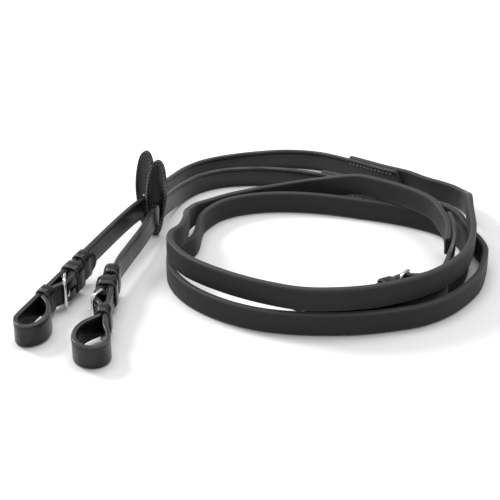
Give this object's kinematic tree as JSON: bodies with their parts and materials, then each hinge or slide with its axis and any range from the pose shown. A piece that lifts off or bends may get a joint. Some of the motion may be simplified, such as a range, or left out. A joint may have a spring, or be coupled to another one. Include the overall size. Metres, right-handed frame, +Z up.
{
  "type": "pair of leather reins",
  "caption": "Pair of coiled leather reins with buckled bit loops, rein stops, soft-grip hand parts and a centre buckle.",
  "frame": {"origin": "on the floor, under the middle of the coiled pair", "axes": "+Z up from the surface the reins lie on, +X along the longest side of the coil, from the bit loops to the coil's far turn, +Y away from the bit loops' open ends"},
  "size_m": [0.3203, 0.3001, 0.0611],
  "materials": {
    "leather": "smooth black bridle leather, satin gloss",
    "soft_grip": "matte fine-grained soft grip",
    "core_strap": "woven core strap",
    "steel": "polished"
  },
  "bodies": {
    "reins": {"left_front_strap": "leather", "left_bit_chape": "leather", "left_bit_fixed_keeper": "leather", "left_grip": "soft_grip", "left_grip_core": "core_strap", "right_front_strap": "leather", "right_bit_chape": "leather", "right_bit_fixed_keeper": "leather", "right_grip": "soft_grip", "right_grip_core": "core_strap", "left_centre_billet": "leather", "right_centre_strap": "leather", "centre_chape": "leather"},
    "left_bit_frame": {"left_bit_buckle_frame": "steel"},
    "left_bit_tongue": {"left_bit_buckle_tongue": "steel"},
    "right_bit_frame": {"right_bit_buckle_frame": "steel"},
    "right_bit_tongue": {"right_bit_buckle_tongue": "steel"},
    "centre_frame": {"centre_buckle_frame": "steel"},
    "centre_tongue": {"centre_buckle_tongue": "steel"},
    "left_loop_keeper": {"left_bit_loop_keeper": "leather"},
    "left_point_keeper": {"left_bit_point_keeper": "leather"},
    "left_stop": {"left_stop_outer": "leather", "left_stop_inner": "leather"},
    "right_loop_keeper": {"right_bit_loop_keeper": "leather"},
    "right_point_keeper": {"right_bit_point_keeper": "leather"},
    "right_stop": {"right_stop_outer": "leather", "right_stop_inner": "leather"},
    "centre_runner": {"centre_keeper": "leather"}
  },
  "joints": [
    {"name": "left_bit_frame_hinge", "type": "hinge", "parent": "reins", "child": "left_bit_frame", "pos_m": [-0.13147, -0.0676, 0.01292], "axis": [0, 0, 1], "range_deg": [0, 12]},
    {"name": "left_bit_tongue_hinge", "type": "hinge", "parent": "left_bit_frame", "child": "left_bit_tongue", "pos_m": [-0.13147, -0.0676, 0.01292], "axis": [0, 0, 1], "range_deg": [0, 20]},
    {"name": "right_bit_frame_hinge", "type": "hinge", "parent": "reins", "child": "right_bit_frame", "pos_m": [-0.10378, -0.08853, 0.01292], "axis": [0, 0, -1], "range_deg": [0, 12]},
    {"name": "right_bit_tongue_hinge", "type": "hinge", "parent": "right_bit_frame", "child": "right_bit_tongue", "pos_m": [-0.10378, -0.08853, 0.01292], "axis": [0, 0, -1], "range_deg": [0, 20]},
    {"name": "centre_frame_hinge", "type": "hinge", "parent": "reins", "child": "centre_frame", "pos_m": [0.09378, -0.07034, 0.01168], "axis": [0, 0, 1], "range_deg": [0, 12]},
    {"name": "centre_tongue_hinge", "type": "hinge", "parent": "centre_frame", "child": "centre_tongue", "pos_m": [0.09378, -0.07034, 0.01168], "axis": [0, 0, 1], "range_deg": [0, 20]},
    {"name": "left_loop_keeper_slide", "type": "slide", "parent": "reins", "child": "left_loop_keeper", "axis": [0.426, 0.9012, 0.0797], "range_m": [0, 0.001]},
    {"name": "left_point_keeper_slide", "type": "slide", "parent": "reins", "child": "left_point_keeper", "axis": [0.426, 0.9012, 0.0797], "range_m": [0, 0.004]},
    {"name": "right_loop_keeper_slide", "type": "slide", "parent": "reins", "child": "right_loop_keeper", "axis": [0.0348, 0.9962, 0.0797], "range_m": [0, 0.001]},
    {"name": "right_point_keeper_slide", "type": "slide", "parent": "reins", "child": "right_point_keeper", "axis": [0.0348, 0.9962, 0.0797], "range_m": [0, 0.004]},
    {"name": "centre_keeper_slide", "type": "slide", "parent": "reins", "child": "centre_runner", "axis": [-0.8902, -0.4555, 0], "range_m": [0, 0.006]},
    {"name": "left_stop_slide", "type": "slide", "parent": "reins", "child": "left_stop", "axis": [0.3998, 0.9166, 0], "range_m": [-0.004, 0.004]},
    {"name": "right_stop_slide", "type": "slide", "parent": "reins", "child": "right_stop", "axis": [0.2223, 0.975, 0], "range_m": [-0.004, 0.004]}
  ]
}
